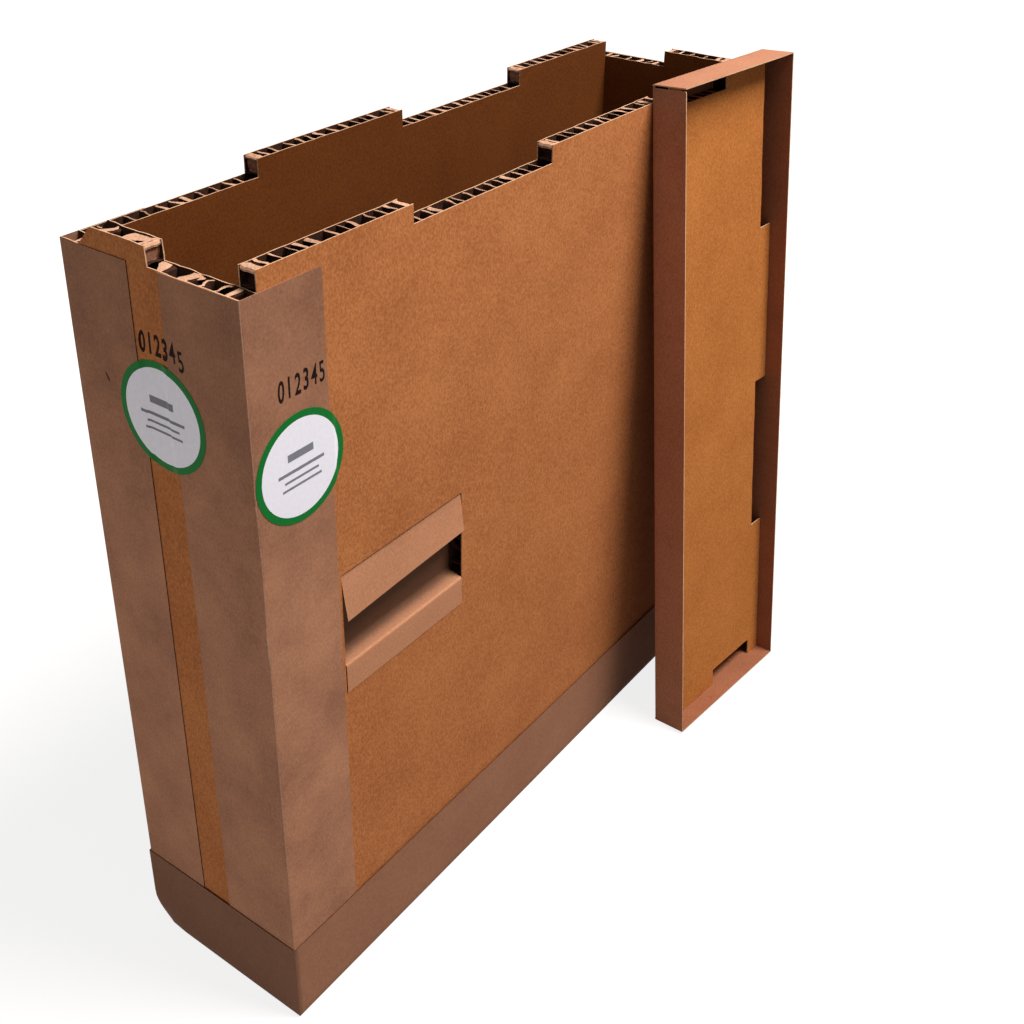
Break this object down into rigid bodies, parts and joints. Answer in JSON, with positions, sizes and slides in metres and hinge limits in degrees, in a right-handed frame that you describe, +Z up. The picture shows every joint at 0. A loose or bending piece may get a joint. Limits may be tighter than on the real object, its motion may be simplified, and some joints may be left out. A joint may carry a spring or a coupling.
{
  "type": "honeycomb board crate",
  "caption": "Tall narrow shipping crate of honeycomb paper board with a stepped rim, a folded base tray, kraft corner wraps, hand holds and a lift-off tray lid leaning on its side.",
  "frame": {"origin": "middle of the crate's underside, on the floor", "axes": "+Z up, +X along the crate's length towards its far end, +Y from the front wall, which the lid leans on, to the back wall"},
  "size_m": [0.839, 0.3432, 0.8428],
  "materials": {
    "board": "matte",
    "kraft": "matte"
  },
  "bodies": {
    "root": {"front_wall": "board", "back_wall": "board", "near_end_wall": "board", "far_end_wall": "board", "base_board": "board", "lid_board": "board", "base_tray": "kraft", "lid_tray": "kraft", "front_hand_hold_liner": "kraft", "back_hand_hold_liner": "kraft", "corner_wrap_near_front": "kraft", "corner_wrap_near_back": "kraft", "corner_wrap_far_front": "kraft", "corner_wrap_far_back": "kraft"}
  },
  "joints": []
}
